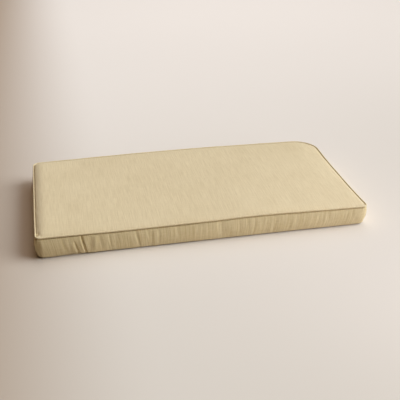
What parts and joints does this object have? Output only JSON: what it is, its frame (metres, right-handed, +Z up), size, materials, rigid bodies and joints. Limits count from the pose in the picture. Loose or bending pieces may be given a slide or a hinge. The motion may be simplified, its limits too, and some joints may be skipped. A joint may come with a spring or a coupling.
{
  "type": "bench cushion",
  "caption": "Long boxed bench cushion with a crowned top panel, puckered boxing and piped seams, lying flat on its back.",
  "frame": {"origin": "middle of the underside, on the surface that the cushion lies on", "axes": "+X along the cushion, -Y towards its front long side, +Z up"},
  "size_m": [1.168, 0.587, 0.0982],
  "materials": {
    "top_cloth": "plain woven straw cloth with slubs that run from front to back",
    "boxing_cloth": "the same woven straw cloth with its slubs upright, puckered between the seams",
    "bottom_cloth": "the same woven straw cloth, lying flat",
    "piping_cloth": "the same woven straw cloth, cut on the bias round a cord"
  },
  "bodies": {
    "root": {"filled_boxing": "boxing_cloth", "top_panel": "top_cloth", "bottom_panel": "bottom_cloth", "top_piping": "piping_cloth", "bottom_piping": "piping_cloth"}
  },
  "joints": []
}
